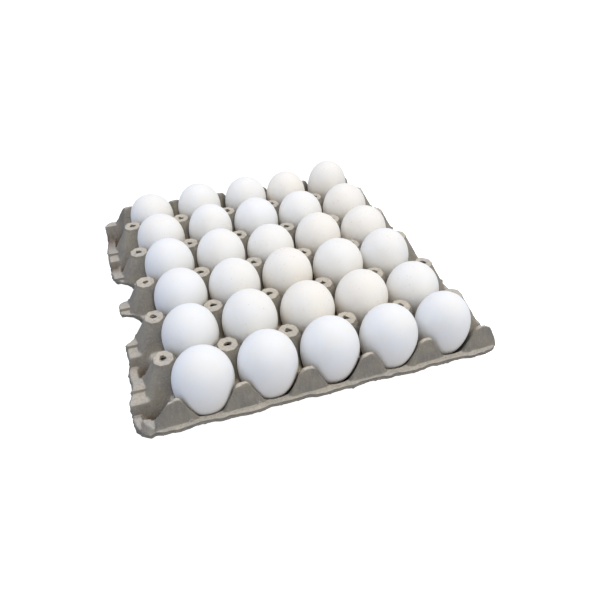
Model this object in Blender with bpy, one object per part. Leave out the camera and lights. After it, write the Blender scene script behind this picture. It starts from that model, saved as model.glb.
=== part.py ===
"""Open moulded-pulp egg flat with its thirty eggs.

Metres, +Z up.  The origin is under the middle of the flat, on the surface it stands on.
The flat repeats on one square pitch: a cell for each egg, and a hollow post at each corner of
a cell.  Along the front and the back the posts are cut through to gables with a steep face,
and along the two sides half a pitch of empty pockets is left over.  A flange runs round the
whole.  On the sides it steps: level in front of each post, then falling to the next step.
"""

import math
import random

import bmesh
import bpy
from mathutils import Matrix, Vector
from mathutils.geometry import delaunay_2d_cdt

MM = 0.001

# The grid
PITCH = 49.0 * MM
COLUMNS = 5  # eggs across X
ROWS = 6  # eggs along Y
HALF = 3 * PITCH  # from the middle to the edge of the square grid
FLANGE_OUT = 1.5 * MM  # how far the flange stands past the grid
FLANGE_IN = 5.5 * MM  # and how far it reaches inside it
CORNER_RADIUS = 12.0 * MM

# Levels above the ground, on the upper skin
PULP = 2.2 * MM
FLOOR = PULP
CELL_WALL = 11.4 * MM
LAND = 20.4 * MM  # the saddles between posts, and the flange
POST_TOP = 40.4 * MM
POCKET_FLOOR = 6.0 * MM

# Posts and cells
HOLE_RADIUS = 2.6 * MM
HOLE_SIDES = 6
POST_SIDES = 8
POST_RADIUS = 7.9 * MM
POST_FOOT = 15.2 * MM
FLOOR_RADIUS = 10.0 * MM
CELL_RADIUS = 18.4 * MM  # halfway up
CELL_RIM = 21.6 * MM  # at the land
LEAN = 1.5 * MM  # sideways step from the upper skin of a steep wall to its lower skin

# Gables: half width, distance from the edge of the grid, level
GABLE_FOOT = (15.2 * MM, 1.9 * MM, LAND + 0.4 * MM)
GABLE_BROW = (6.8 * MM, 5.9 * MM, POST_TOP - 1.6 * MM)
GABLE_FRONT = (5.8 * MM, 6.7 * MM, POST_TOP)
GABLE_BACK = (3.2 * MM, 8.2 * MM, POST_TOP)

# Sides. A level shelf starts in front of each row of posts, at the top of a steep face.
SHELF_FRONT = 20.5 * MM  # from the row of posts to the shelf's front edge
LAST_SHELF = 6.0 * MM  # from the back of the grid to the last such edge
FACE_RUN = 3.6 * MM
FACE_HEIGHT = 7.0 * MM
TIP = Vector((10.5 * MM, -19.5 * MM))  # the shelf's inner end, from the edge and from the posts
SAG = 4.8 * MM  # the left flange sags towards the back
SAG_MIDDLE = 235.0 * MM
SAG_REACH = 45.0 * MM

# Side pockets, in front of each steep face
POCKET_FRONT = 13.0 * MM  # from the row of posts
POCKET_BACK = 23.6 * MM
POCKET_NEAR = 8.3 * MM  # distances from the edge of the grid
POCKET_FAR = 14.0 * MM

# Two pockets on the left have lost their outer wall. Millimetres from the front and inwards
# from the flange's edge.
BITES = {
    2: ((93.5, 0.0), (101.0, 8.0), (108.0, 13.2), (115.0, 13.2), (122.0, 9.5), (129.0, 0.0)),
    3: ((147.0, 0.0), (150.5, 9.0), (157.5, 13.2), (164.0, 11.8), (178.0, 1.8), (182.0, 0.0)),
}

# Eggs, blunt end up
EGG_DIAMETER = 45.6 * MM
EGG_LENGTH = 59.4 * MM
EGG_BULGE = 3.0 * MM  # the widest ring lies this far above mid-length
EGG_GAP = 0.4 * MM  # between an egg's tip and the floor of its cell
EGG_SIDES = 12
EGG_BANDS = 6
EGG_SEED = 24619
DIAMETER_SPREAD = 0.5 * MM
LENGTH_SPREAD = 0.9 * MM
LEAN_SPREAD = 0.9 * MM  # at mid-length

# Eggs that stand out from the rest, by row and column: millimetres added to the length and to
# the diameter, and the lean to the right
ODD_EGGS = {
    (1, 5): (1.0, -2.0, 0.0),
    (2, 2): (2.0, 0.0, 0.0),
    (2, 5): (-2.0, 0.0, 0.0),
    (3, 1): (0.0, 0.0, 1.8),
    (3, 5): (2.0, 0.0, -1.5),
    (4, 3): (-3.5, 0.0, 0.0),
    (5, 1): (-2.5, 1.0, 0.0),
    (5, 2): (0.0, -1.5, 1.4),
    (6, 1): (-4.0, -0.6, -1.8),
    (6, 3): (0.0, 0.0, 2.2),
    (6, 4): (0.0, -2.4, 0.0),
    (6, 5): (4.3, -2.6, 0.0),
}

PULP_GREY = (0.36, 0.33, 0.29, 1.0)
SHELL_WHITE = (0.86, 0.85, 0.83, 1.0)


def clear_scene():
    for item in list(bpy.data.objects):
        bpy.data.objects.remove(item, do_unlink=True)


def make_material(name, colour, roughness):
    material = bpy.data.materials.new(name)
    material.use_nodes = True
    shader = material.node_tree.nodes["Principled BSDF"]
    shader.inputs["Base Color"].default_value = colour
    shader.inputs["Roughness"].default_value = roughness
    shader.inputs["Metallic"].default_value = 0.0
    return material


def make_object(name, bm, material):
    mesh = bpy.data.meshes.new(name)
    bmesh.ops.recalc_face_normals(bm, faces=bm.faces)
    bm.to_mesh(mesh)
    bm.free()
    mesh.materials.append(material)
    item = bpy.data.objects.new(name, mesh)
    bpy.context.collection.objects.link(item)
    return item


def around(centre, radius, turn):
    """The point on a circle at an angle given in turns."""
    angle = math.tau * turn
    return centre + radius * Vector((math.cos(angle), math.sin(angle)))


class Skins:
    """The flat's plan. Each plan point has a place on the upper skin and one on the lower."""

    def __init__(self):
        self.plan = []
        self.upper = []
        self.lower = []
        self.lines = []

    def point(self, spot, level, lean=Vector((0, 0))):
        """Add a point. Its lower skin is one pulp thickness down, and moved sideways by lean."""
        under = spot + lean
        self.plan.append(spot)
        self.upper.append((spot.x, spot.y, level))
        self.lower.append((under.x, under.y, level - PULP))
        return len(self.plan) - 1

    def line(self, points, closed=True):
        """Keep the edges between these points when the plan is divided into triangles."""
        ends = points[1:] + points[:1] if closed else points[1:]
        self.lines += zip(points, ends)


def add_post(skins, centre):
    """A hollow octagonal post with a hole punched in its top. Returns the hole's points."""
    hole = [skins.point(around(centre, HOLE_RADIUS, k / HOLE_SIDES), POST_TOP) for k in range(HOLE_SIDES)]
    rim = []
    for k in range(POST_SIDES):
        spot = around(centre, POST_RADIUS, (k + 0.5) / POST_SIDES)
        rim.append(skins.point(spot, POST_TOP, (centre - spot).normalized() * LEAN))
    for k in range(4):
        spot = around(centre, POST_FOOT, k / 4)
        skins.point(spot, LAND + 0.5 * MM, (centre - spot).normalized() * LEAN)
    skins.line(hole)
    skins.line(rim)
    return hole


def add_cell(skins, centre, flange):
    """A round cell: a small flat floor and a wall. Flange is the way to the flange, if near."""
    floor = []
    for k in range(8):
        outward = around(Vector((0, 0)), 1.0, k / 8)
        floor.append(skins.point(centre + outward * FLOOR_RADIUS, FLOOR, outward * LEAN * 0.7))
        skins.point(centre + outward * CELL_RADIUS, CELL_WALL, outward * LEAN * 0.8)
        if k % 2:
            skins.point(centre + outward * CELL_RIM, LAND, outward * LEAN * 0.5)
    if flange:
        skins.point(centre + Vector((0, flange * CELL_RIM)), LAND, Vector((0, flange * LEAN * 0.5)))
    skins.line(floor)


def add_gable(skins, x, side):
    """The inner half of a post, on the front (side -1) or the back (side 1)."""
    rows = []
    shapes = (GABLE_FOOT, GABLE_BROW, GABLE_FRONT, GABLE_BACK)
    leans = ((1.0, 1.0), (0.9, 0.8), (0.7, 0.45), (0.35, -0.4))
    for (half_width, inset, level), (across, inwards) in zip(shapes, leans):
        y = side * (HALF - inset)
        rows.append([
            skins.point(Vector((x + s * half_width, y)), level, Vector((-s * across, -side * inwards)) * LEAN)
            for s in (-1, 1)
        ])
    for left, right in rows:
        skins.line([left, right], closed=False)
    foot = Vector((x, side * (HALF - POST_FOOT)))
    skins.point(foot, LAND + 0.5 * MM, Vector((0, side * LEAN)))
    for s in (0, 1):
        skins.line([row[s] for row in rows], closed=False)


def flange_level(x, y):
    """The flange's level at a plan point. It is lower where the left side sags."""
    if x > -HALF + POCKET_FAR:
        return LAND
    return LAND - SAG * math.exp(-(((y + HALF - SAG_MIDDLE) / SAG_REACH) ** 2))


def side_profile():
    """Places along a side, from the front, and how far the flange lies below its level there."""
    edges = [j * PITCH - SHELF_FRONT - HALF for j in range(1, ROWS)] + [HALF - LAST_SHELF]
    stops = []
    for edge in edges:
        stops += [(edge - FACE_RUN, FACE_HEIGHT), (edge, 0.0)]
        if edge != edges[-1]:
            stops.append((edge + SHELF_FRONT, 0.0))
    return stops


def bitten(y, side):
    """Whether the flange at this place along a side is missing."""
    spans = [(bite[0][0] * MM - HALF, bite[-1][0] * MM - HALF) for bite in BITES.values()]
    return side < 0 and any(start - 1.5 * MM < y < end + 1.5 * MM for start, end in spans)


def add_side(skins, side):
    """The flange's inner edge on the left (side -1) or the right (side 1): its points by y."""
    x = side * (HALF - FLANGE_IN)
    inner = {}
    for y, drop in side_profile():
        if not bitten(y, side):
            inner[round(y, 6)] = skins.point(Vector((x, y)), flange_level(x, y) - drop)
    for j in range(1, ROWS):
        row = j * PITCH - HALF
        tip = Vector((side * (HALF - TIP.x), row + TIP.y))
        end = skins.point(tip, flange_level(*tip))
        start = inner.get(round(row - SHELF_FRONT, 6))
        if start:
            skins.line([start, end], closed=False)
    return inner


def add_pocket(skins, row, side):
    """An empty half cell beside the outer posts, on the left (side -1) or the right (side 1)."""
    floor = []
    for inset, y in (
        (POCKET_NEAR, POCKET_FRONT),
        (POCKET_FAR, POCKET_FRONT),
        (POCKET_FAR, POCKET_BACK),
        (POCKET_NEAR, POCKET_BACK),
    ):
        lean = Vector((side * 0.5 * LEAN if inset == POCKET_NEAR else -side * 0.5 * LEAN, 0))
        spot = Vector((side * (HALF - inset), row * PITCH - HALF + y))
        floor.append(skins.point(spot, POCKET_FLOOR, lean))
    skins.line(floor)


def side_outline(side):
    """The flange's outer edge along a side, from the front to the back, with its levels."""
    x = side * (HALF + FLANGE_OUT)
    reach = HALF + FLANGE_OUT - CORNER_RADIUS
    spots = [
        (Vector((x, y)), flange_level(x, y) - drop)
        for y, drop in side_profile()
        if abs(y) < reach and not bitten(y, side)
    ]
    if side < 0:
        for bite in BITES.values():
            for along, deep in bite:
                y = along * MM - HALF
                spots.append((Vector((x + deep * MM, y)), flange_level(x, y)))
    return sorted(spots, key=lambda item: item[0].y)


def outline():
    """The flange's outer edge with its levels, counter-clockwise from the right end of the back."""
    reach = HALF + FLANGE_OUT - CORNER_RADIUS
    edge = []
    for quarter, (x, y) in enumerate(((1, 1), (-1, 1), (-1, -1), (1, -1))):
        corner = Vector((x * reach, y * reach))
        edge += [(around(corner, CORNER_RADIUS, quarter / 4 + k / 12), LAND) for k in range(4)]
        if quarter == 1:
            edge += reversed(side_outline(-1))
    return edge + side_outline(1)


def inside(spot, loop):
    """Whether a plan point lies inside a closed loop of plan points."""
    crossings = 0
    for a, b in zip(loop, loop[1:] + loop[:1]):
        if (a.y > spot.y) != (b.y > spot.y):
            crossings += spot.x < a.x + (spot.y - a.y) * (b.x - a.x) / (b.y - a.y)
    return crossings % 2 == 1


def grid(column, row):
    """The plan point this many pitches from the flat's front left corner."""
    return Vector((column * PITCH - HALF, row * PITCH - HALF))


def build_skins():
    """All plan points of the flat, with its outer edge and its holes as lists of points."""
    skins = Skins()
    holes = [add_post(skins, grid(i + 0.5, j + 1)) for i in range(COLUMNS + 1) for j in range(ROWS - 1)]
    for i in range(COLUMNS):
        for j in range(ROWS):
            flange = {0: -1, ROWS - 1: 1}.get(j, 0)
            add_cell(skins, grid(i + 1, j + 0.5), flange)
            if j:
                skins.point(grid(i + 1, j), LAND)
    for i in range(COLUMNS + 1):
        for j in range(ROWS):
            skins.point(grid(i + 0.5, j + 0.5), LAND)
        for side in (-1, 1):
            add_gable(skins, grid(i + 0.5, 0).x, side)
    inner = {side: add_side(skins, side) for side in (-1, 1)}
    for side in (-1, 1):
        for j in range(ROWS):
            if side > 0 or j not in BITES:
                add_pocket(skins, j, side)
    edge = [skins.point(spot, level) for spot, level in outline()]
    skins.line(edge)
    for outer in edge:
        spot = skins.plan[outer]
        match = inner[1 if spot.x > 0 else -1].get(round(spot.y, 6))
        if match:
            skins.line([outer, match], closed=False)
    return skins, edge, holes


def divide(skins, edge, holes):
    """The plan's triangles, without those in the holes or past the outer edge."""
    found = delaunay_2d_cdt(skins.plan, skins.lines, [], 0, 1e-7)
    points, triangles, origins = found[0], found[2], found[3]
    rim = [skins.plan[k] for k in edge]
    gaps = [[skins.plan[k] for k in hole] for hole in holes]
    kept = []
    for triangle in triangles:
        middle = sum((points[k] for k in triangle), Vector((0, 0))) / 3
        if inside(middle, rim) and not any(
            (gap[0] - middle).length < 3 * HOLE_RADIUS and inside(middle, gap) for gap in gaps
        ):
            kept.append([origins[k][0] for k in triangle])
    return kept


def build_flat(material):
    """The flat: its two skins, joined along the outer edge and through each hole."""
    skins, edge, holes = build_skins()
    triangles = divide(skins, edge, holes)
    bm = bmesh.new()
    upper = [bm.verts.new(place) for place in skins.upper]
    lower = [bm.verts.new(place) for place in skins.lower]
    for a, b, c in triangles:
        bm.faces.new((upper[a], upper[b], upper[c]))
        bm.faces.new((lower[c], lower[b], lower[a]))
    for loop in [edge] + holes:
        for a, b in zip(loop, loop[1:] + loop[:1]):
            bm.faces.new((upper[a], upper[b], lower[b], lower[a]))
    make_object("tray", bm, material)


def egg_radius(along, diameter, length):
    """An egg's radius at a distance above mid-length."""
    across = length**2 - 4 * along**2
    fullness = length**2 - 8 * EGG_BULGE * along + 4 * EGG_BULGE**2
    return 0.5 * diameter * math.sqrt(max(across, 0.0) / fullness)


def build_egg(name, spot, diameter, length, lean, material):
    """One egg standing on its pointed end at this plan point. Its middle is moved by lean."""
    bm = bmesh.new()
    tips = [bm.verts.new((0, 0, s * length / 2)) for s in (-1, 1)]
    rings = []
    for band in range(1, EGG_BANDS):
        along = -0.5 * length * math.cos(math.pi * band / EGG_BANDS)
        radius = egg_radius(along, diameter, length)
        ring = [around(Vector((0, 0)), radius, k / EGG_SIDES) for k in range(EGG_SIDES)]
        rings.append([bm.verts.new((p.x, p.y, along)) for p in ring])
    for k in range(EGG_SIDES):
        n = (k + 1) % EGG_SIDES
        bm.faces.new((tips[0], rings[0][n], rings[0][k]))
        bm.faces.new((tips[1], rings[-1][k], rings[-1][n]))
        for lower, upper in zip(rings, rings[1:]):
            bm.faces.new((lower[k], lower[n], upper[n], upper[k]))
    axis = Vector((lean.x, lean.y, length / 2))
    turn = Vector((0, 0, 1)).rotation_difference(axis).to_matrix().to_4x4()
    stand = turn @ Matrix.Translation((0, 0, length / 2))
    bmesh.ops.transform(bm, matrix=stand, verts=bm.verts)
    lowest = min(vertex.co.z for vertex in bm.verts)
    item = make_object(name, bm, material)
    item.location = (spot.x, spot.y, FLOOR + EGG_GAP - lowest)


def build_eggs(material):
    uneven = random.Random(EGG_SEED)
    for row in range(ROWS):
        for column in range(COLUMNS):
            longer, wider, aside = ODD_EGGS.get((row + 1, column + 1), (0.0, 0.0, 0.0))
            diameter = EGG_DIAMETER + wider * MM + uneven.uniform(-1, 1) * DIAMETER_SPREAD
            length = EGG_LENGTH + longer * MM + uneven.uniform(-1, 1) * LENGTH_SPREAD
            lean = around(Vector((aside * MM, 0)), uneven.uniform(0, 1) * LEAN_SPREAD, uneven.uniform(0, 1))
            name = f"egg_r{row + 1}_c{column + 1}"
            build_egg(name, grid(column + 1, row + 0.5), diameter, length, lean, material)


def main():
    clear_scene()
    build_flat(make_material("pulp", PULP_GREY, 0.95))
    build_eggs(make_material("eggshell", SHELL_WHITE, 0.5))


main()
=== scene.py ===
"""Finished look of an open moulded-pulp egg tray with its thirty white eggs.

The tray is one sheet of pulp.  Its upper skin is a height over the plan, built up from the
forms that repeat on the tray: posts, gables, cells, side pockets and the flange round them.
The plan is divided into quads that follow those forms, the lower skin is the upper one moved
down by the thickness of the pulp, and the two are joined round the outline and the holes.

Tray sizes are in millimetres, measured from the front left corner of the grid of cells.
"""

import math
import random

import bmesh
import bpy
import numpy as np
from mathutils import Matrix, Vector, noise


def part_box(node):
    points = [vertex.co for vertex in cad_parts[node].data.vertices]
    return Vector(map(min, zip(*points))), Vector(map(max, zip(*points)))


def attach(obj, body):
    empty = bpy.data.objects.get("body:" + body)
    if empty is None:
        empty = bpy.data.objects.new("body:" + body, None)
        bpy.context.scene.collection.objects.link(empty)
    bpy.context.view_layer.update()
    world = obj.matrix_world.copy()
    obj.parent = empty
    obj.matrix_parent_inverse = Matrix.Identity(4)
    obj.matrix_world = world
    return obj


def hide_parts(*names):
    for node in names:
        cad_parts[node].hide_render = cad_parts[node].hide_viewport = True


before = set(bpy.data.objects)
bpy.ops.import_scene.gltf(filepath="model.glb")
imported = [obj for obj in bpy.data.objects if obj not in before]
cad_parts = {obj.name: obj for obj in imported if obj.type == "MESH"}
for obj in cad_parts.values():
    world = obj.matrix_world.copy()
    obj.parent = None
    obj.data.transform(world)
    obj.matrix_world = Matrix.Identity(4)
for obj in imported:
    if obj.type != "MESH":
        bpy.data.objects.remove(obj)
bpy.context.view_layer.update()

MM = 0.001

# The grid, from the frame
FLANGE_OUT = 1.5  # the flange stands this far past the grid
PITCHES = 6
tray_low, tray_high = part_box("tray")
PITCH = (tray_high.x - tray_low.x) / MM / PITCHES - 2 * FLANGE_OUT / PITCHES
SPAN = PITCHES * PITCH
POST_TOP = tray_high.z / MM

# Levels of the upper skin
PULP = 2.2  # thickness
FLOOR = PULP  # of the cells
LAND = POST_TOP - 20.0  # the flange and the saddles between posts

# Posts: eight-sided, with a hole in the flat top.  Slopes are falls per millimetre outwards.
POST_HALF = 7.6
SHOULDER = POST_TOP - 1.2  # the flanks start here
SIDE_SLOPE = 1.95
END_SLOPE = 1.47
CORNER_SLOPE = 1.15
RIM_SLOPE = 7.0  # of the short upright side just below the top
HOLE_RADIUS = 2.9

# Cells: distance from the axis, level
CELL_PROFILE = (
    (9.5, FLOOR), (13.2, 5.8), (16.4, 10.4), (19.3, 15.4),
    (21.4, 20.4), (23.0, 25.4), (24.1, 30.4), (24.8, 38.0), (25.4, 46.0),
)

# Gables: posts in line with the front and back edges, cut through by a steep face
GABLE_FOOT = 1.9  # from the edge of the grid
FACE_SLOPE = 4.7
GABLE_BROW = GABLE_FOOT + (POST_TOP - LAND) / FACE_SLOPE
GABLE_BACK = 8.8
GABLE_HALF_FOOT = 15.3
GABLE_HALF_TOP = 6.2
GABLE_DOME = 0.08  # the top falls by this times the square of the distance from the middle
GABLE_LEANS = (1.0, 0.3, 0.6, -0.4, 0.3, 0.8)  # to the right at the top, from the left
BUMP_SIDES = (1, 1, -1, 1, -1, -1)  # the side of each gable's small bump, from the left
BUMP_PLACE = 10.5  # from the gable's middle
BUMP_HEIGHT = 3.2

# Sides.  A level shelf starts in front of each row of posts, at the top of a steep face.
SHELF_FRONT = 20.5  # from the row of posts to the shelf's front edge
GROOVE = 9.3  # from the row of posts to the small step across the shelf
STEP = 2.4
STEP_RUN = 0.7
FACE_RUN = 3.6
FACE_HEIGHT = 7.1
FIRST_FALL = 13.5  # from the front to where the sides start to fall
FIRST_NEAR = 17.5  # from the front to the first pocket, at the side
FIRST_SLANT = 0.58  # that pocket starts nearer the front further in
LAST_SHELF = 6.0  # from the back of the grid to the last shelf's edge
LAST_RUN = 9.0
LAST_HEIGHT = 12.0
SAG = 4.8  # the left side sags towards the back
SAG_MIDDLE = 235.0
SAG_REACH = 45.0

# Side pockets
POCKET_SIDE = 4.6  # from the edge of the grid to the pocket
FIRST_SIDE = 2.6
POCKET_NEAR = 7.5  # from the row of posts in front of it
POCKET_INSIDE = 11.0  # from the edge of the grid to the foot of the inner wall
FIRST_INSIDE = 20.0
RIGHT_POCKET = 3.5  # the pockets on the right lie this much further in
POCKET_FLOOR = 4.5
CORNER_FLOOR = 7.5  # of the first pockets, in the front corners
POCKET_SLOPE = 3.2  # of the posts' flanks above a pocket
FAR_SLOPE = 3.5  # of the pocket's walls, by where they stand
NEAR_SLOPE = 3.0
FIRST_NEAR_SLOPE = 8.0
OUTER_SLOPE = 5.0
INNER_SLOPE = 3.5
NO_WALL = 60.0  # far above or below every wall

# Crease across the front left corner: its ends, the slope outside it, and the notch where it
# meets the front edge (middle, reach, depth)
FOLD = ((1.4, 15.6), (9.9, 2.6))
FOLD_SLOPE = 0.8
NOTCH = (8.5, 4.5, 2.0)

# Outline
CORNER_RADIUS = 15.0
BACK_LEFT_RADIUS = 6.0
RIGHT_INSET = 7.0  # the flange on the right is trimmed close to the posts
SIDE_LIP = 1.8
END_LIP = 0.5
# Broken edge on the left: distance from the front, depth
BITES = (
    (93.5, 0.0), (98.0, 4.0), (103.0, 8.5), (108.0, 12.8), (113.0, 16.2), (118.0, 17.6),
    (122.8, 18.1), (125.2, 16.2), (128.0, 12.5), (131.5, 4.8), (134.5, 0.7), (136.0, 0.0), (149.5, 0.0),
    (152.0, 1.6), (156.0, 6.4), (160.5, 11.6), (165.0, 15.4), (168.5, 16.8), (171.8, 17.2),
    (174.0, 15.6), (177.0, 12.0), (182.0, 6.4), (187.0, 1.4), (189.5, 0.0),
)
# Where the left edge stands out or in: middle, reach, depth
BULGES = ((25.0, 17.0, 2.7), (64.0, 9.0, 1.0), (81.0, 8.0, -1.1), (238.0, 45.0, 2.9))

# Divisions of the plan
COARSE = 11  # along a plain side of a post's tile
CROSS = 14  # across a column of the grid
FINE = 26  # across a gable's column
STRIP_COLUMNS = 9
STRIP_INSIDE = 9.0  # the side strips end this far inside the grid
STRIP_LEAST = 3.5  # and are nowhere narrower than this
PLAIN_HALF = PITCH * 3 / 10  # half of the evenly divided part of a column
COLUMN_LEAST = 1.0  # between that part and the column's ends

# Wall round the outline and in the holes, between the two skins: share of the way down, bulge
WALL = ((0.08, 0.3), (0.26, -0.7), (0.5, 0.5), (0.8, 0.4))

# Unevenness: size, depth
WALL_LUMPS = (2.1, 1.25)
SKIN_LUMPS = ((11.0, 0.3), (4.0, 0.2))

# ---------------------------------------------------------------- small helpers


def soft_max(a, b, reach):
    """The greater of two heights, with a fillet where they meet."""
    mix = np.clip(0.5 + 0.5 * (a - b) / reach, 0.0, 1.0)
    return b + (a - b) * mix + reach * mix * (1.0 - mix)


def soft_min(a, b, reach):
    return -soft_max(-a, -b, reach)


def smooth(value, start, end):
    """0 before start, 1 after end, smooth between."""
    t = np.clip((value - start) / (end - start), 0.0, 1.0)
    return t * t * (3.0 - 2.0 * t)


def line(value, x0, y0, x1, y1):
    return y0 + (value - x0) * (y1 - y0) / (x1 - x0)


def nearest(value, first, count):
    """Offset from the nearest of the places first, first + PITCH, and so on."""
    step = np.clip(np.round((value - first) / PITCH), 0, count - 1)
    return value - first - step * PITCH


# ---------------------------------------------------------------- outline


def left_shift(v):
    """Inward step of the left edge from a straight one: bites in, bulges out."""
    places, depths = zip(*BITES)
    shift = np.interp(v, places, depths)
    for middle, reach, deep in BULGES:
        shift = shift - deep * np.exp(-(((v - middle) / reach) ** 4))
    return shift + 0.3 * np.sin(v / 7.0 + 0.8) + 0.2 * np.sin(v / 2.9)


def right_shift(v):
    return RIGHT_INSET + 0.7 * np.sin(v / 19.0) + 0.5 * np.sin(v / 7.3 + 2.0)


def end_wave(u, phase):
    """Outward waver of the front or back edge."""
    ragged = 0.25 * np.sin(u / 1.9 + phase) * np.sin(u / 11.0)
    return 0.65 * np.sin(u / 10.2 + phase) + 0.4 * np.sin(u / 4.1 + 2.0 * phase) + ragged


def corner_radius(left, v):
    return np.where(left & (v > SPAN / 2), BACK_LEFT_RADIUS, CORNER_RADIUS)


def corner_cut(left, v):
    """Inward step of a side edge at v, where the corners are rounded."""
    radius = corner_radius(left, v)
    past = np.maximum(radius - FLANGE_OUT - np.minimum(v, SPAN - v), 0.0)
    return radius - np.sqrt(np.maximum(radius**2 - past**2, 0.0))


def left_edge(v):
    return -FLANGE_OUT + corner_cut(True, v) + left_shift(v)


def right_edge(v):
    return SPAN + FLANGE_OUT - corner_cut(False, v) - right_shift(v)


def edge_distances(u, v):
    """Distances inside the outline: from the nearer side, and from the nearer end."""
    side = np.minimum(u - left_shift(v), SPAN - right_shift(v) - u) + FLANGE_OUT
    return side, np.minimum(v, SPAN - v) + FLANGE_OUT


def rim_drop(u, v):
    """How far the upper skin rolls over towards the outline."""
    side, end = edge_distances(u, v)
    radius = corner_radius(u < SPAN / 2, v)
    in_corner = (side < radius) & (end < radius)
    rounded = radius - np.hypot(radius - side, radius - end)
    inside = np.where(in_corner, rounded, np.minimum(side, end))
    lip = SIDE_LIP + (END_LIP - SIDE_LIP) * smooth(side - end, -4.0, 4.0)
    over = np.clip((lip - inside) / lip, 0.0, 1.0)
    return 0.8 * lip * (1.0 - np.sqrt(1.0 - 0.97 * over**2))


# ---------------------------------------------------------------- upper skin


def octagon_distance(x, y):
    """Distance from an axis, measured as an octagon does."""
    x, y = np.abs(x), np.abs(y)
    return np.maximum(np.maximum(x, y), (x + y) * math.sqrt(0.5))


def post_height(x, y):
    """Height of a post at a place measured from its axis."""
    x, y = np.abs(x), np.abs(y)
    outside = np.maximum(octagon_distance(x, y) - POST_HALF, 0.0)
    side = SHOULDER - (x - POST_HALF) * SIDE_SLOPE
    end = SHOULDER - (y - POST_HALF) * END_SLOPE
    corner = SHOULDER - ((x + y) * math.sqrt(0.5) - POST_HALF) * CORNER_SLOPE
    flank = np.minimum(soft_min(soft_min(side, end, 0.8), corner, 0.8), SHOULDER)
    return soft_max(POST_TOP - outside * RIM_SLOPE, flank, 0.5)


def slim_post(x, y):
    """What a side pocket leaves of a post."""
    outside = np.maximum(octagon_distance(x, y) - POST_HALF, 0.0)
    flank = SHOULDER - outside * POCKET_SLOPE
    return np.where(outside > 0.0, flank, POST_TOP + 10.0)


def hole_dimple(x, y):
    """The pulp sags a little round the hole."""
    return 0.9 * (1.0 - smooth(np.hypot(x, y), 1.4, 4.2))


def cell_height(rho):
    """Height of a cell's wall at a distance from its axis."""
    return np.interp(rho, *zip(*CELL_PROFILE))


def gable_bump(x, from_edge, bump_side):
    """Height of the small bump at one lower corner of a gable."""
    across = (x - BUMP_PLACE * bump_side) / 1.5
    along = (from_edge - GABLE_FOOT) / 1.1
    return BUMP_HEIGHT * np.exp(-(across**2) - along**2)


def gable_height(x, from_edge, bump_side, lean):
    """Height of a gable at a place across it and from the edge of the grid.

    The top has a small dent on the side away from the bump.
    """
    rise = (from_edge - GABLE_FOOT) * FACE_SLOPE
    x = x - lean * np.clip(rise / (POST_TOP - LAND), 0.0, 1.0)
    uneven = 0.22 * np.sin(x / 2.7 + rise / 5.0) + 0.15 * np.sin(rise / 2.3 - x / 6.0)
    face = LAND + rise + uneven * FACE_SLOPE
    dent = np.exp(-(((x + bump_side) / 2.3) ** 2) - ((from_edge - GABLE_BROW) / 1.6) ** 2)
    top = POST_TOP - 0.9 * dent - GABLE_DOME * x**2 + 0.1 * np.sin(x / 1.9)
    side_slope = (POST_TOP - LAND) / (GABLE_HALF_FOOT - GABLE_HALF_TOP)
    side = LAND + (GABLE_HALF_FOOT - np.abs(x)) * side_slope
    behind = from_edge - GABLE_BACK
    back = np.minimum(SHOULDER - behind * END_SLOPE, SHOULDER)
    back = soft_max(POST_TOP - np.maximum(behind, 0.0) * RIM_SLOPE, back, 0.5)
    return soft_min(soft_min(soft_min(top, side, 3.0), back, 0.6), face, 1.2)


def shelf_edges():
    """Distances from the front to the shelves' edges along a side."""
    return [j * PITCH - SHELF_FRONT for j in range(1, PITCHES)] + [SPAN - LAST_SHELF]


def face_size(edge):
    """Run and height of the steep face below a shelf's edge."""
    if edge > SPAN - PITCH / 2:
        return LAST_RUN, LAST_HEIGHT
    return FACE_RUN, FACE_HEIGHT


def side_profile(v):
    """How far a side's flange stands above or below the land, along the side."""
    knots = [(FIRST_FALL, 0.0)]
    for edge in shelf_edges():
        run, fall = face_size(edge)
        groove = edge + SHELF_FRONT - GROOVE
        knots += [(edge - run, -fall), (edge, 0.0), (groove, 0.0), (groove + STEP_RUN, STEP)]
    return np.interp(v, *zip(*knots))


def sag(u, v):
    return SAG * np.exp(-(((v - SAG_MIDDLE) / SAG_REACH) ** 2)) * (1.0 - smooth(u, 8.0, 24.0))


def pocket_height(from_side, v, land):
    """Height of the wall of a side pocket."""
    edges = np.array(shelf_edges())
    ahead = np.searchsorted(edges[:-1], v)
    to_edge = edges[ahead] - v
    last = v > edges[-2]
    run, fall = np.array([face_size(edge) for edge in edges])[ahead].T
    far = LAND - np.minimum(to_edge, run) / run * fall
    far = far - np.maximum(to_edge - run, 0.0) * FAR_SLOPE
    past_row = np.mod(v, PITCH)
    first = v < edges[0]
    past_near = past_row - np.where(first, FIRST_NEAR - FIRST_SLANT * from_side, POCKET_NEAR)
    near_slope = np.where(first & (past_near < 0.0), FIRST_NEAR_SLOPE, NEAR_SLOPE)
    near = land - past_near * near_slope
    side = land - (from_side - np.where(first, FIRST_SIDE, POCKET_SIDE)) * OUTER_SLOPE
    floor = np.where(first, CORNER_FLOOR, POCKET_FLOOR)
    inner = floor + (from_side - np.where(first, FIRST_INSIDE, POCKET_INSIDE)) * INNER_SLOPE
    walls = soft_max(soft_max(far, near, 1.0), soft_max(side, inner, 1.0), 1.0)
    on_shelf = (past_row > PITCH - SHELF_FRONT) & ~last
    shelf = np.where(on_shelf, NO_WALL, -NO_WALL)
    return np.maximum(soft_max(walls, floor, 2.0), shelf)


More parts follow.
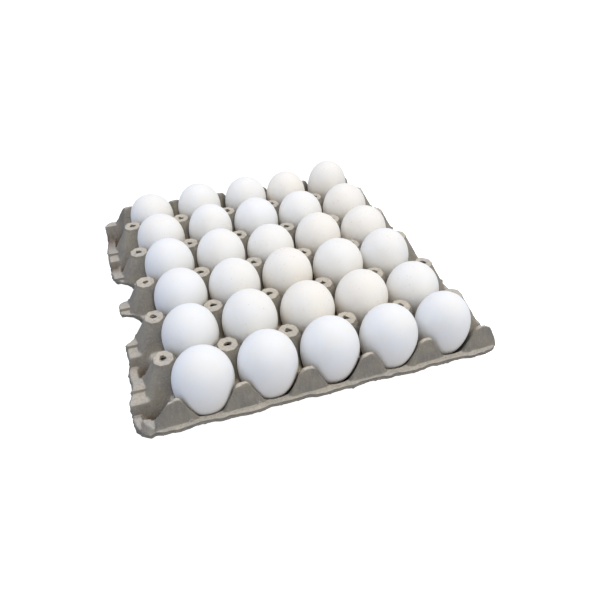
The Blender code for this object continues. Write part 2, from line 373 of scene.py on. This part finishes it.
def corner_fold(u, v):
    """How far the front left corner is bent down outside its crease, which starts in a pinch."""
    (u1, v1), (u2, v2) = FOLD
    length = math.hypot(u2 - u1, v2 - v1)
    outside = ((u - u1) * (v2 - v1) - (v - v1) * (u2 - u1)) / length
    pinch = np.exp(-(((u - 0.8) / 1.6) ** 2) - ((v - 13.0) / 3.2) ** 2)
    return FOLD_SLOPE * np.maximum(outside, 0.0) * (1.0 - smooth(v, 15.0, 21.0)) + 2.0 * pinch


def upper_skin(u, v):
    """Height of the upper skin over the plan."""
    u = u + 0.35 * np.sin(v / 21.0 + 1.0) * np.cos(u / 33.0) + 0.15 * np.sin(v / 9.0)
    v = v + 0.35 * np.sin(u / 27.0 + 2.0) * np.cos(v / 35.0) + 0.15 * np.sin(u / 8.0)
    from_side = np.minimum(u, SPAN - u)
    from_end = np.minimum(v, SPAN - v)
    beside = 1.0 - smooth(from_side, 10.0, 16.0)
    land = LAND + side_profile(v) * beside - sag(u, v)

    post_x = nearest(u, PITCH / 2, PITCHES)
    post_y = nearest(v, PITCH, PITCHES - 1)
    column = np.clip(np.floor(u / PITCH), 0, PITCHES - 1).astype(int)
    bump_side = np.array(BUMP_SIDES)[column]
    gable = gable_height(post_x, from_end, bump_side, np.array(GABLE_LEANS)[column])
    height = soft_max(land, post_height(post_x, post_y), 1.2)
    height = soft_max(height, gable, 0.6 + 1.2 * smooth(from_end, 7.0, 12.0))
    height = height + gable_bump(post_x, from_end, bump_side)
    past_row = np.mod(v, PITCH)
    to_row = PITCH - past_row
    ahead = np.where(
        v > SPAN - PITCH, slim_post(post_x, to_row), post_height(post_x, to_row)
    )
    posts = np.maximum(slim_post(post_x, past_row), ahead)
    pocket_side = np.minimum(u, SPAN - RIGHT_POCKET - u)
    pocket = soft_max(pocket_height(pocket_side, v, land), posts, 0.8)
    height = np.where(from_side < PITCH / 2, soft_min(height, pocket, 0.8), height)

    cell_x = nearest(u, PITCH, PITCHES - 1)
    cell_y = nearest(v, PITCH / 2, PITCHES)
    height = soft_min(height, cell_height(np.hypot(cell_x, cell_y)), 1.6)
    height = height - corner_fold(u, v)
    return height - hole_dimple(post_x, post_y) - rim_drop(u, v)


def lower_skin(u, v):
    """The upper skin moved inwards by the thickness of the pulp."""
    lowest = upper_skin(u, v) - PULP
    for share, count in ((0.55, 6), (0.92, 12)):
        reach = PULP * share
        drop = math.sqrt(PULP**2 - reach**2)
        for k in range(count):
            angle = math.tau * k / count
            step_u, step_v = reach * math.cos(angle), reach * math.sin(angle)
            lowest = np.minimum(lowest, upper_skin(u + step_u, v + step_v) - drop)
    side, end = edge_distances(u, v)
    torn = (u < SPAN / 2) & (left_shift(v) > 2.0)
    bead = np.where(torn, -0.7, 1.3) * (1.0 - smooth(np.minimum(side, end), 0.5, 4.0))
    return np.maximum(lowest - bead, 0.0)


# ---------------------------------------------------------------- plan


class Plan:
    """Quads over the plan.  Points that two patches share are stored once."""

    def __init__(self):
        self.points = []
        self.index = {}
        self.faces = []

    def point(self, u, v):
        key = (round(float(u), 3), round(float(v), 3))
        if key not in self.index:
            self.index[key] = len(self.points)
            self.points.append(key)
        return self.index[key]

    def patch(self, u, v, closed=False):
        """Quads between the rows of two arrays of places; closed rows join up."""
        ids = [[self.point(a, b) for a, b in zip(*row)] for row in zip(u, v)]
        for low, high in zip(ids, ids[1:]):
            steps = range(len(low) if closed else len(low) - 1)
            for k in steps:
                n = (k + 1) % len(low)
                face = [low[k], low[n], high[n], high[k]]
                if len(set(face)) == 4:
                    self.faces.append(face)


def strip_inside(v, right=False):
    """Inner limit of a side strip at v."""
    if right:
        return np.minimum(SPAN - STRIP_INSIDE, right_edge(v) - STRIP_LEAST)
    return np.maximum(STRIP_INSIDE, left_edge(v) + STRIP_LEAST)


def spaced(*spans):
    """Stops over a row of spans, each given as start, end and number of steps."""
    parts = [np.linspace(start, end, steps + 1)[:-1] for start, end, steps in spans]
    return np.append(np.concatenate(parts), spans[-1][1])


def end_rows():
    """Distances from the edge of the grid, close together on the gables' faces."""
    return spaced(
        (-FLANGE_OUT, 0.0, 5), (0.0, GABLE_FOOT, 2), (GABLE_FOOT, GABLE_BROW, 12),
        (GABLE_BROW, GABLE_BACK, 4), (GABLE_BACK, 18.0, 5), (18.0, PITCH / 2, 4),
    )


def row_stops():
    """Distances from a row of posts, close together at the shelf's edge and step."""
    foot, edge = -SHELF_FRONT - FACE_RUN, -SHELF_FRONT
    return spaced(
        (-PITCH / 2, foot, 1), (foot, edge, 5), (edge, -GROOVE - 0.3, 4),
        (-GROOVE - 0.3, -GROOVE + STEP_RUN + 0.3, 3), (-GROOVE + STEP_RUN + 0.3, PITCH / 2, 11),
    )


def side_rows():
    """All the stops along a side, from the front to the back."""
    ends = end_rows()
    rows = [row_stops()[1:] + (j + 1) * PITCH for j in range(PITCHES - 1)]
    return np.concatenate([ends, *rows, SPAN - ends[::-1][1:]])


def end_waver(u, v):
    """Places along v, moved with the front and back edges, which waver as far as the gables."""
    middle, reach, deep = NOTCH
    notch = deep * np.exp(-(((u - middle) / reach) ** 2))
    front = (1.0 - smooth(v, -FLANGE_OUT, GABLE_FOOT - 0.4)) * (end_wave(u, 0.4) - notch)
    back = smooth(v, SPAN - GABLE_FOOT + 0.4, SPAN + FLANGE_OUT) * end_wave(u, 2.1)
    return v - front + back


def cross_stops(column, v, count, half=PLAIN_HALF):
    """Stops across one column of the grid at v, evenly spaced in its middle part."""
    left = strip_inside(v) if column == 0 else column * PITCH
    right = strip_inside(v, True) if column == PITCHES - 1 else (column + 1) * PITCH
    middle = (column + 0.5) * PITCH
    low, high = max(middle - half, left + COLUMN_LEAST), min(middle + half, right - COLUMN_LEAST)
    fifth = count // 5
    return spaced((left, low, fifth), (low, high, count - 2 * fifth), (high, right, fifth))


def add_side_strips(plan):
    v = side_rows()
    share = np.linspace(0.0, 1.0, STRIP_COLUMNS + 1)
    for outer, inner in (
        (left_edge(v), strip_inside(v)),
        (strip_inside(v, True), right_edge(v)),
    ):
        u = outer[:, None] + (inner - outer)[:, None] * share
        plan.patch(u, end_waver(u, np.repeat(v[:, None], len(share), axis=1)))


def gable_half_width(from_edge):
    """Half width of the part of a gable tile that follows the gable."""
    stops = (GABLE_FOOT, GABLE_BROW, GABLE_BACK, 19.0)
    widths = (GABLE_HALF_FOOT, GABLE_HALF_TOP, GABLE_HALF_TOP, PLAIN_HALF)
    return np.interp(from_edge, stops, widths)


def add_gable_tile(plan, column, back):
    """The half tile between the front or back edge and the first row of cell middles."""
    rows_u, rows_v = [], []
    for from_edge in end_rows():
        v = SPAN - from_edge if back else from_edge
        u = cross_stops(column, np.array(v), FINE, gable_half_width(from_edge))
        rows_u.append(u)
        rows_v.append(end_waver(u, np.full_like(u, v)))
    plan.patch(rows_u, rows_v)


def tile_boundary(column, row):
    """Places round the square tile about a post, in order."""
    low, high = (row + 0.5) * PITCH, (row + 1.5) * PITCH
    front = cross_stops(column, np.array(low), FINE if row == 0 else CROSS)
    back = cross_stops(column, np.array(high), FINE if row == PITCHES - 2 else CROSS)
    plain, close = np.linspace(low, high, COARSE + 1), row_stops() + (row + 1) * PITCH
    left_v = close if column == 0 else plain
    right_v = close if column == PITCHES - 1 else plain
    left_u = strip_inside(left_v) if column == 0 else np.full_like(left_v, column * PITCH)
    right_u = (
        strip_inside(right_v, True)
        if column == PITCHES - 1
        else np.full_like(right_v, (column + 1) * PITCH)
    )
    u = np.concatenate([front[:-1], right_u[:-1], back[::-1][:-1], left_u[::-1][:-1]])
    v = np.concatenate([
        np.full(len(front) - 1, low), right_v[:-1],
        np.full(len(back) - 1, high), left_v[::-1][:-1],
    ])
    return u, v


def hole_outline(angle, random_source):
    """Distances from a post's axis to its hole, which a flap of pulp half covers in front."""
    size = HOLE_RADIUS * random_source.uniform(0.9, 1.12)
    flap = random_source.uniform(0.35, 0.9)
    dip = np.maximum(-np.sin(angle), 1e-6)
    return np.minimum(size, flap / dip)


def add_post_tile(plan, column, row, random_source):
    """Rings from the hole of a post out to the square tile round it."""
    middle_u, middle_v = (column + 0.5) * PITCH, (row + 1.0) * PITCH
    outer_u, outer_v = tile_boundary(column, row)
    x, y = outer_u - middle_u, outer_v - middle_v
    reach = np.hypot(x, y)
    x, y = x / reach, y / reach
    unit = octagon_distance(x, y)
    hole = hole_outline(np.arctan2(y, x), random_source)
    rings = [hole]
    for q in (3.9, 6.0, 7.1, 7.55, 7.95, 8.3, 8.8, 9.8, 11.4, 13.2):
        rings.append(q / unit)
    last = rings[-1]
    outer_rings = 8 if column in (0, PITCHES - 1) else 5
    for share in np.linspace(0.0, 1.0, outer_rings + 1)[1:]:
        rings.append(last + (reach - last) * share)
    plan.patch([middle_u + r * x for r in rings], [middle_v + r * y for r in rings], True)


def build_plan():
    plan = Plan()
    add_side_strips(plan)
    random_source = random.Random(12)
    for column in range(PITCHES):
        add_gable_tile(plan, column, False)
        add_gable_tile(plan, column, True)
        for row in range(PITCHES - 1):
            add_post_tile(plan, column, row, random_source)
    return plan


# ---------------------------------------------------------------- tray


def boundary_edges(faces):
    """Directed edges that only one face has."""
    edges = {(f[k], f[(k + 1) % 4]) for f in faces for k in range(4)}
    return [(a, b) for a, b in edges if (b, a) not in edges]


def turned_up(faces, points):
    """The faces with their corners counter-clockwise as seen from above."""
    p = points[np.array(faces)]
    a, b = p[:, 2] - p[:, 0], p[:, 3] - p[:, 1]
    up = a[:, 0] * b[:, 1] - a[:, 1] * b[:, 0] > 0
    return [f if good else f[::-1] for f, good in zip(faces, up)]


def lumps(place, size, depth):
    """Smooth noise at a place: size and depth in millimetres."""
    return depth * noise.noise(place / (size * MM))


def edge_wall(edges, skin, count):
    """Rows of points, bulging a little, and faces that join the skins along their edges."""
    outward = {}
    for a, b in edges:
        along = skin[b] - skin[a]
        across = np.array([along[1], -along[0], 0.0])
        for k in (a, b):
            outward[k] = outward.get(k, 0.0) + across / np.linalg.norm(across)
    points, rows = [], {}
    for k, across in outward.items():
        across = across / np.linalg.norm(across)
        above, below = skin[k], skin[k + count]
        row = [k]
        for share, bulge in WALL:
            place = Vector(above * MM)
            bulge = bulge + lumps(place + Vector((0, 0, 9 * share * MM)), *WALL_LUMPS)
            row.append(2 * count + len(points))
            points.append(above + (below - above) * share + across * bulge)
        rows[k] = row + [k + count]
    faces = []
    for a, b in edges:
        for k in range(len(WALL) + 1):
            faces.append((rows[a][k], rows[a][k + 1], rows[b][k + 1], rows[b][k]))
    return points, faces


def build_tray():
    plan = build_plan()
    plan_points = np.array(plan.points)
    faces = turned_up(plan.faces, plan_points)
    u, v = plan_points[:, 0], plan_points[:, 1]
    count = len(u)
    lower = [[k + count for k in reversed(f)] for f in faces]
    x, y = np.tile(u - SPAN / 2, 2), np.tile(v - SPAN / 2, 2)
    skin = np.stack([x, y, np.concatenate([upper_skin(u, v), lower_skin(u, v)])], axis=1)
    wall, sides = edge_wall(boundary_edges(faces), skin, count)
    mesh = bpy.data.meshes.new("tray_pulp")
    mesh.from_pydata(np.concatenate([skin, wall]) * MM, [], faces + lower + sides)
    normals = [n.vector.copy() for n in mesh.vertex_normals]
    for vertex, normal in zip(mesh.vertices, normals):
        if vertex.co.z > 0.5 * MM:
            uneven = sum(lumps(vertex.co, size, depth) for size, depth in SKIN_LUMPS)
            vertex.co += normal * uneven * MM
            vertex.co.z = max(vertex.co.z, 0.0)
    mesh.shade_smooth()
    tray = bpy.data.objects.new("tray_pulp", mesh)
    bpy.context.scene.collection.objects.link(tray)
    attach(tray, "root")
    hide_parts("tray")
    return tray


# ---------------------------------------------------------------- eggs

EGG_SIDES = 64
EGG_RINGS = 40
# Colour of the shell and where its specks start in the noise
SHELLS = {
    "cool": ((0.857, 0.872, 0.876), 0.76),
    "plain": ((0.872, 0.872, 0.85), 0.72),
    "warm": ((0.88, 0.86, 0.81), 0.70),
}
WARM_EGGS = ("r2_c3", "r2_c4", "r3_c3", "r4_c4", "r4_c5", "r5_c5", "r6_c4", "r6_c5")
COOL_EGGS = ("r2_c1", "r3_c1", "r4_c1", "r5_c3")


def egg_axis(node):
    """Lower tip, direction and length of the egg in a CAD node, and its largest diameter."""
    points = [v.co for v in node.data.vertices]
    top, tip = max(points, key=lambda p: p.z), min(points, key=lambda p: p.z)
    direction = (top - tip).normalized()
    radius = max((p - tip - direction * (p - tip).dot(direction)).length for p in points)
    return tip, direction, (top - tip).length, 2 * radius


def egg_radius(along, length, diameter, bulge):
    """Radius of an egg at a place along its axis, measured from mid-length."""
    square = (length**2 - 4 * along**2) / (length**2 - 8 * bulge * along + 4 * bulge**2)
    return diameter / 2 * math.sqrt(max(square, 0.0))


def egg_tint(place):
    """Tint of the egg at a place named by its row from the front and its column."""
    if place in WARM_EGGS:
        return "warm"
    return "cool" if place.startswith("r1") or place in COOL_EGGS else "plain"


def build_egg(name, node, material):
    tip, direction, length, diameter = egg_axis(node)
    bulge = length / 20
    bm = bmesh.new()
    rings = []
    for k in range(1, EGG_RINGS):
        along = -length / 2 * math.cos(math.pi * k / EGG_RINGS)
        radius = egg_radius(along, length, diameter, bulge)
        angles = [math.tau * s / EGG_SIDES for s in range(EGG_SIDES)]
        ring = [(radius * math.cos(a), radius * math.sin(a), along) for a in angles]
        rings.append([bm.verts.new(p) for p in ring])
    low = bm.verts.new((0, 0, -length / 2))
    high = bm.verts.new((0, 0, length / 2))
    for s in range(EGG_SIDES):
        n = (s + 1) % EGG_SIDES
        bm.faces.new((low, rings[0][n], rings[0][s]))
        bm.faces.new((high, rings[-1][s], rings[-1][n]))
        for a, b in zip(rings, rings[1:]):
            bm.faces.new((a[s], a[n], b[n], b[s]))
    mesh = bpy.data.meshes.new(name)
    bm.to_mesh(mesh)
    bm.free()
    mesh.shade_smooth()
    turn = Vector((0, 0, 1)).rotation_difference(direction).to_matrix().to_4x4()
    mesh.transform(Matrix.Translation(tip + direction * length / 2) @ turn)
    mesh.materials.append(material)
    egg = bpy.data.objects.new(name, mesh)
    bpy.context.scene.collection.objects.link(egg)
    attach(egg, "root")
    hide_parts(node.name)
    return egg


# ---------------------------------------------------------------- materials

# Pairs are mixed in patches
# A shaded and a lit copy of the same pulp: painted shade for steep faces, painted light for level ones
PULP_STEEP_PAINTED_SHADE = ((0.248, 0.230, 0.199), (0.292, 0.268, 0.218))
PULP_LEVEL_PAINTED_LIGHT = ((0.515, 0.484, 0.424), (0.566, 0.52, 0.442))
# Painted shade for the low parts of the tray, the pocket and cell floors
PULP_LOW_PAINTED_SHADE = ((0.135, 0.10, 0.076), (0.185, 0.14, 0.108))
PULP_STREAKS = (0.345, 0.316, 0.27)
# Painted shade for faces turned downwards
PULP_UNDERSIDE_PAINTED_SHADE = (0.15, 0.135, 0.115)
# Specks: scale of the noise, where they start in it, colour
PULP_SPECKS = (
    (800.0, 0.60, (0.42, 0.40, 0.36)),
    (950.0, 0.64, (0.20, 0.18, 0.155)),
    (420.0, 0.66, (0.27, 0.25, 0.215)),
)
SHELL_SPECKS = (0.62, 0.60, 0.56)


def new_material(name):
    """A Principled material with its node tree, shader and object coordinates."""
    material = bpy.data.materials.new(name)
    material.use_nodes = True
    nodes = material.node_tree.nodes
    shader = nodes["Principled BSDF"]
    coordinates = nodes.new("ShaderNodeTexCoord").outputs["Object"]
    return material, shader, coordinates


def noise_factor(tree, coordinates, scale, detail=3.0, low=0.4, high=0.6):
    """Noise stretched to run from 0 at low to 1 at high."""
    texture = tree.nodes.new("ShaderNodeTexNoise")
    texture.inputs["Scale"].default_value = scale
    texture.inputs["Detail"].default_value = detail
    tree.links.new(coordinates, texture.inputs["Vector"])
    spread = tree.nodes.new("ShaderNodeMapRange")
    spread.inputs["From Min"].default_value = low
    spread.inputs["From Max"].default_value = high
    tree.links.new(texture.outputs["Fac"], spread.inputs["Value"])
    return spread.outputs["Result"]


def mix_colour(tree, factor, first, second):
    """A mix of two colours, each a socket or a value."""
    mix = tree.nodes.new("ShaderNodeMix")
    mix.data_type = "RGBA"
    for name, value in (("A", first), ("B", second)):
        socket = next(s for s in mix.inputs if s.name == name and s.type == "RGBA")
        if isinstance(value, bpy.types.NodeSocket):
            tree.links.new(value, socket)
        else:
            socket.default_value = (*value, 1.0)
    factor_socket = next(s for s in mix.inputs if s.name == "Factor" and s.type == "VALUE")
    tree.links.new(factor, factor_socket)
    return next(s for s in mix.outputs if s.type == "RGBA")


def add_bump(tree, shader, height, strength, distance):
    bump = tree.nodes.new("ShaderNodeBump")
    bump.inputs["Strength"].default_value = strength
    bump.inputs["Distance"].default_value = distance
    tree.links.new(height, bump.inputs["Height"])
    tree.links.new(bump.outputs["Normal"], shader.inputs["Normal"])


def height_factor(tree, coordinates, low, high):
    """Runs from 0 at one height to 1 at another."""
    split = tree.nodes.new("ShaderNodeSeparateXYZ")
    tree.links.new(coordinates, split.inputs["Vector"])
    spread = tree.nodes.new("ShaderNodeMapRange")
    spread.interpolation_type = "SMOOTHSTEP"
    spread.inputs["From Min"].default_value = low
    spread.inputs["From Max"].default_value = high
    tree.links.new(split.outputs["Z"], spread.inputs["Value"])
    return spread.outputs["Result"]


def facing(tree, low, high):
    """Runs from 0 to 1 as the upward part of the normal goes from low to high."""
    coordinates = tree.nodes.new("ShaderNodeTexCoord")
    return height_factor(tree, coordinates.outputs["Normal"], low, high)


def stretched(tree, coordinates):
    """Coordinates that draw noise out into upright streaks."""
    mapping = tree.nodes.new("ShaderNodeMapping")
    mapping.inputs["Scale"].default_value = (1.0, 1.0, 0.12)
    tree.links.new(coordinates, mapping.inputs["Vector"])
    return mapping.outputs["Vector"]


def pulp_material():
    """Rough pulp with painted light and shade: paler where it is level, and darker where it is steep,
    low or underneath, as painted shade.
    """
    material, shader, coordinates = new_material("pulp")
    tree = material.node_tree
    patches = noise_factor(tree, coordinates, 70.0, 4.0)
    # Painted light and shade: faces that point up take the lit copy, steep faces the shaded copy
    steep = mix_colour(tree, patches, *PULP_STEEP_PAINTED_SHADE)
    level = mix_colour(tree, patches, *PULP_LEVEL_PAINTED_LIGHT)
    high = mix_colour(tree, facing(tree, 0.72, 0.94), steep, level)
    # Painted shade: the pulp turns darker and browner from 18 mm down to 4 mm, in the pockets and cells
    low = mix_colour(tree, patches, *PULP_LOW_PAINTED_SHADE)
    colour = mix_colour(tree, height_factor(tree, coordinates, 0.004, 0.018), low, high)
    streaks = noise_factor(tree, stretched(tree, coordinates), 500.0, 3.0, 0.45, 0.95)
    colour = mix_colour(tree, streaks, colour, PULP_STREAKS)
    # Painted shade: faces that point down darken towards this colour
    colour = mix_colour(tree, facing(tree, -0.2, -0.6), colour, PULP_UNDERSIDE_PAINTED_SHADE)
    for scale, start, speck in PULP_SPECKS:
        factor = noise_factor(tree, coordinates, scale, 2.0, start, start + 0.35)
        colour = mix_colour(tree, factor, colour, speck)
    tree.links.new(colour, shader.inputs["Base Color"])
    shader.inputs["Roughness"].default_value = 0.95
    shader.inputs["Specular IOR Level"].default_value = 0.12
    add_bump(tree, shader, noise_factor(tree, coordinates, 650.0, 5.0, 0.2, 0.8), 0.6, 0.0007)
    return material


def shell_material(name, colour, speck_start):
    """Matt shell, a little warmer in patches, with a few specks, and with a painted warm reflection of
    the pulp towards the bottom.
    """
    material, shader, coordinates = new_material(name)
    tree = material.node_tree
    warmer = tuple(c * f for c, f in zip(colour, (1.0, 0.985, 0.96)))
    tint = mix_colour(tree, noise_factor(tree, coordinates, 60.0, 2.0), colour, warmer)
    speck = noise_factor(tree, coordinates, 700.0, 1.0, speck_start, speck_start + 0.08)
    tint = mix_colour(tree, speck, tint, SHELL_SPECKS)
    # Painted reflection: warm light bounced from the pulp, painted onto the lower part of the shell
    low = tuple(c * f for c, f in zip(colour, (0.99, 0.935, 0.865)))
    tint = mix_colour(tree, height_factor(tree, coordinates, 0.048, 0.018), tint, low)
    tree.links.new(tint, shader.inputs["Base Color"])
    shader.inputs["Roughness"].default_value = 0.55
    shader.inputs["Specular IOR Level"].default_value = 0.25
    add_bump(tree, shader, noise_factor(tree, coordinates, 1500.0, 2.0, 0.3, 0.7), 0.1, 0.0002)
    return material


# ---------------------------------------------------------------- studio

FLOOR_COLOUR = (0.52, 0.52, 0.53, 1.0)
FLOOR_DROP = 0.2 * MM  # the floor lies this far below the tray's feet
WORLD_COLOUR = (0.665, 0.765, 0.985, 1.0)
WORLD_STRENGTH = 0.82
LIGHT_SIZE = 0.6
# Lights: name, place, power, colour
LIGHTS = (
    ("right", (0.9, -0.35, 0.85), 3.0, (1.0, 0.91, 0.75)),
    ("front", (0.15, -0.85, 0.95), 2.6, (1.0, 0.76, 0.3)),
    ("top", (0.0, 0.3, 1.15), 5.0, (1.0, 0.88, 0.72)),
)
LENS = 32.65
SENSOR = 36.0
SHIFT = (0.0447, -0.0089)
CAMERA_PLACE = (-0.1317, -0.3942, 0.3270)
CAMERA_TURNS = (-17.75, 38.54, -0.225)  # to the left, down and over, in degrees


def build_floor():
    """A plain floor that looks evenly white and reflects like pale paper."""
    bm = bmesh.new()
    bmesh.ops.create_grid(bm, x_segments=1, y_segments=1, size=6.0)
    mesh = bpy.data.meshes.new("floor")
    bm.to_mesh(mesh)
    bm.free()
    floor = bpy.data.objects.new("floor", mesh)
    floor.location.z = -FLOOR_DROP
    material, shader = new_material("floor")[:2]
    tree = material.node_tree
    shader.inputs["Base Color"].default_value = FLOOR_COLOUR
    shader.inputs["Roughness"].default_value = 1.0
    shader.inputs["Specular IOR Level"].default_value = 0.0
    shader.inputs["Emission Color"].default_value = (1.0, 1.0, 1.0, 1.0)
    tree.links.new(
        tree.nodes.new("ShaderNodeLightPath").outputs["Is Camera Ray"],
        shader.inputs["Emission Strength"],
    )
    mesh.materials.append(material)
    bpy.context.scene.collection.objects.link(floor)


def add_area(name, place, power, colour):
    """A soft square light that points at the origin."""
    light = bpy.data.lights.new(name, "AREA")
    light.size = LIGHT_SIZE
    light.energy = power
    light.color = colour
    lamp = bpy.data.objects.new(name, light)
    lamp.location = place
    lamp.rotation_mode = "QUATERNION"
    lamp.rotation_quaternion = (-Vector(place)).to_track_quat("-Z", "Y")
    bpy.context.scene.collection.objects.link(lamp)


def build_lights():
    """An even, slightly cool surround and three warm soft lights from above."""
    world = bpy.data.worlds.new("studio")
    world.use_nodes = True
    background = world.node_tree.nodes["Background"]
    background.inputs["Color"].default_value = WORLD_COLOUR
    background.inputs["Strength"].default_value = WORLD_STRENGTH
    bpy.context.scene.world = world
    for light in LIGHTS:
        add_area(*light)


def build_camera():
    data = bpy.data.cameras.new("camera")
    data.sensor_width = SENSOR
    data.lens = LENS
    data.shift_x, data.shift_y = SHIFT
    data.clip_start = 0.01
    camera = bpy.data.objects.new("camera", data)
    camera.location = CAMERA_PLACE
    yaw, pitch, roll = (math.radians(turn) for turn in CAMERA_TURNS)
    turn = Matrix.Rotation(yaw, 4, "Z") @ Matrix.Rotation(math.pi / 2 - pitch, 4, "X")
    camera.rotation_euler = (turn @ Matrix.Rotation(roll, 4, "Z")).to_euler()
    bpy.context.scene.collection.objects.link(camera)
    bpy.context.scene.camera = camera


# ---------------------------------------------------------------- all of it

bpy.context.scene.view_settings.view_transform = "Standard"
build_camera()
build_lights()
build_floor()
build_tray().data.materials.append(pulp_material())
shells = {tint: shell_material("shell_" + tint, *looks) for tint, looks in SHELLS.items()}
for node_name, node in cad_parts.items():
    if node_name.startswith("egg_"):
        build_egg("shell_" + node_name[4:], node, shells[egg_tint(node_name[4:])])
